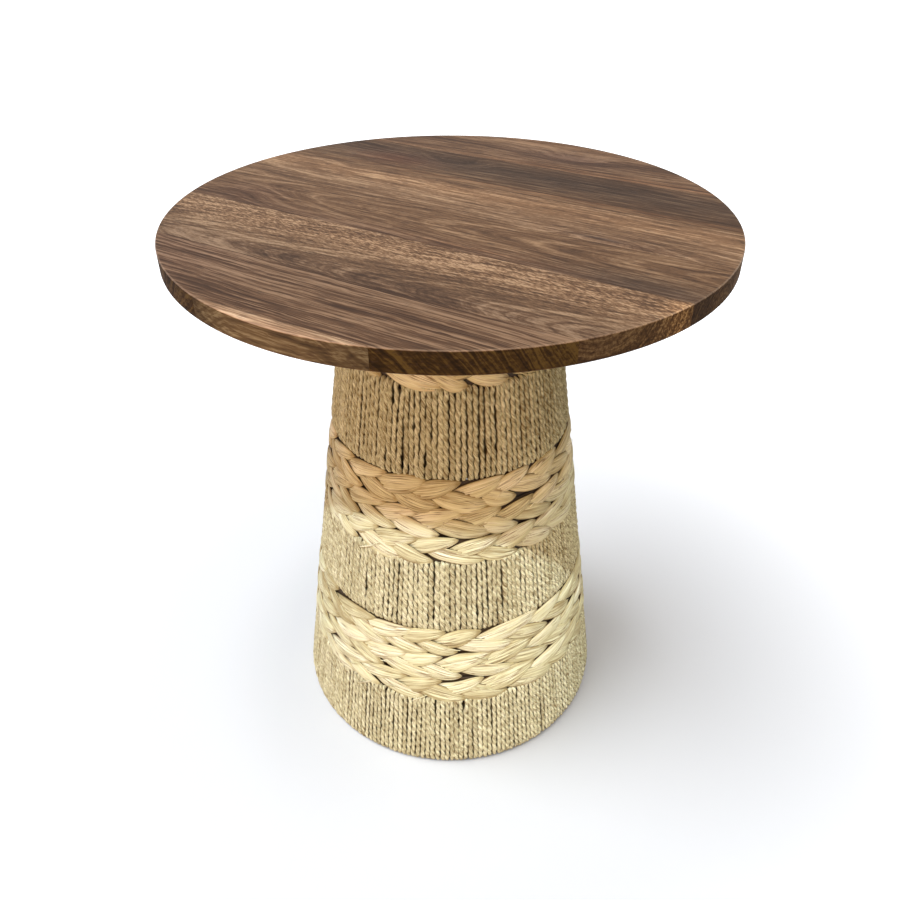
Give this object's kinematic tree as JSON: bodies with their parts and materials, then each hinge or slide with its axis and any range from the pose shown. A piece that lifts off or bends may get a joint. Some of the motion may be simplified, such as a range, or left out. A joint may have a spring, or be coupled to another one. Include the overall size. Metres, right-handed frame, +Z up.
{
  "type": "side table",
  "caption": "Round side table: glued walnut top on a cone-shaped rod frame covered with upright twisted cords and bands of plaited palm leaf.",
  "frame": {"origin": "on the floor under the middle of the table", "axes": "+Z up along the axis of the cone base, +X along the boards of the top"},
  "size_m": [0.5, 0.5, 0.56],
  "materials": {
    "walnut": "satin oiled walnut with dark and light boards",
    "cord": "matt twisted leaf-fibre cord, straw coloured",
    "palm_leaf": "dry plaited palm leaf, cream to straw, slightly satin along the fibres",
    "frame_steel": "matt black paint on round steel rod",
    "screw_zinc": "zinc-plated steel"
  },
  "bodies": {
    "root": {"top_board_1": "walnut", "top_board_2": "walnut", "top_board_3": "walnut", "top_board_4": "walnut", "top_board_5": "walnut", "top_board_6": "walnut", "top_board_7": "walnut", "lower_cords": "cord", "lower_cord_foot_ring": "frame_steel", "lower_cord_head_ring": "frame_steel", "middle_cords": "cord", "middle_cord_foot_ring": "frame_steel", "middle_cord_head_ring": "frame_steel", "upper_cords": "cord", "upper_cord_foot_ring": "frame_steel", "upper_cord_head_ring": "frame_steel", "top_ring": "frame_steel", "lower_plait_1": "palm_leaf", "lower_plait_2": "palm_leaf", "lower_plait_3": "palm_leaf", "middle_plait_1": "palm_leaf", "middle_plait_2": "palm_leaf", "middle_plait_3": "palm_leaf", "top_plait_1": "palm_leaf", "top_plait_2": "palm_leaf", "top_plait_3": "palm_leaf", "upright_1": "frame_steel", "upright_2": "frame_steel", "upright_3": "frame_steel", "upright_4": "frame_steel", "upright_5": "frame_steel", "upright_6": "frame_steel", "screw_tab_1": "frame_steel", "top_screw_1": "screw_zinc", "screw_tab_2": "frame_steel", "top_screw_2": "screw_zinc", "screw_tab_3": "frame_steel", "top_screw_3": "screw_zinc", "screw_tab_4": "frame_steel", "top_screw_4": "screw_zinc"}
  },
  "joints": []
}
